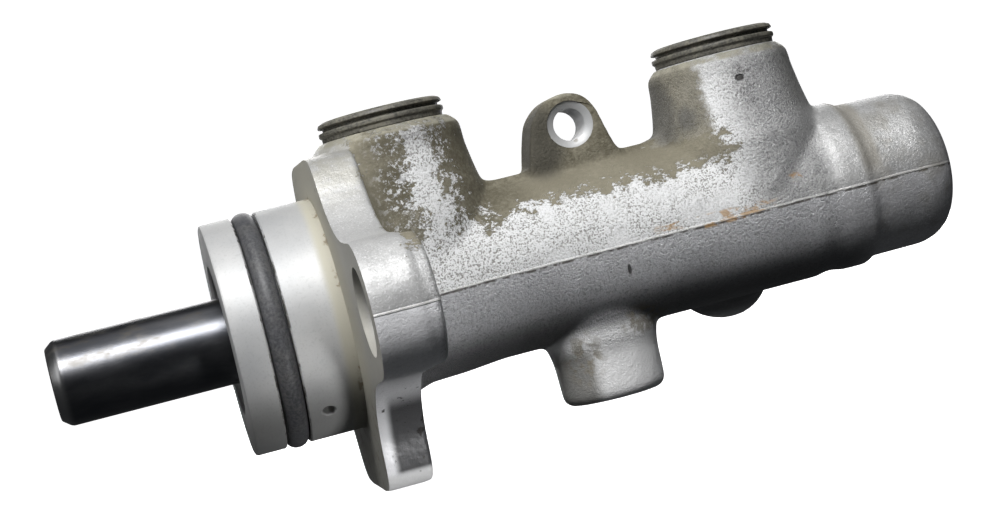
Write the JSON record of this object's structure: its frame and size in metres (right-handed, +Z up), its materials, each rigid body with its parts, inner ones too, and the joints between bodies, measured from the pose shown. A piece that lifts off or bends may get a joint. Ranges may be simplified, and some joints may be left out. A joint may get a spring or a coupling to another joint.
{
  "type": "tandem brake master cylinder",
  "caption": "Booster-mounted tandem brake master cylinder: cast aluminium body, two-stud flange, piston rod, reservoir grommets and brake outlets.",
  "frame": {"origin": "on the bore axis in the mounting flange's rear face, where the booster's front plate sits", "axes": "+X along the bore to the closed end, -X to the booster and pushrod; +Z up through the reservoir ports; the flange's two studs lie along Y"},
  "size_m": [0.151, 0.1054, 0.0593],
  "materials": {
    "cast_aluminium": "sand-grained die casting, weathered, with machined faces",
    "polished_steel": "dark ground and polished",
    "anodised_aluminium": "hard anodised, turned",
    "spring_steel": "drawn wire",
    "plated_steel": "zinc plated",
    "black_rubber": "moulded, slightly dusty",
    "dusty_rubber": "moulded, grey with dust",
    "black_nylon": "moulded"
  },
  "bodies": {
    "housing": {"cylinder_body": "cast_aluminium", "flange_o_ring": "black_rubber", "primary_grommet": "dusty_rubber", "secondary_grommet": "dusty_rubber", "retaining_ring": "plated_steel", "stop_washer": "plated_steel", "guide_bush": "black_nylon", "bush_o_ring": "black_rubber", "vacuum_seal": "black_rubber", "rod_seal": "black_rubber", "primary_main_seal": "black_rubber", "separating_seal": "black_rubber", "secondary_main_seal": "black_rubber", "secondary_spring_sleeve": "plated_steel"},
    "primary": {"primary_piston": "polished_steel", "primary_spring_screw": "plated_steel", "primary_spring": "spring_steel"},
    "floating": {"floating_piston": "anodised_aluminium", "primary_spring_sleeve": "plated_steel", "secondary_spring_screw": "plated_steel", "secondary_spring": "spring_steel"}
  },
  "joints": [
    {"name": "primary_piston_slide", "type": "slide", "parent": "housing", "child": "primary", "axis": [1, 0, 0], "range_m": [0, 0.02], "stiffness_N_per_m": 4000, "springref_m": -0.02, "deforming": ["primary_spring"]},
    {"name": "floating_piston_slide", "type": "slide", "parent": "housing", "child": "floating", "axis": [1, 0, 0], "range_m": [0, 0.009], "stiffness_N_per_m": 3000, "springref_m": -0.02, "deforming": ["secondary_spring"]}
  ],
  "couplings": [
    {"joint": "floating_piston_slide", "follows": "primary_piston_slide", "ratio": 0.45}
  ]
}
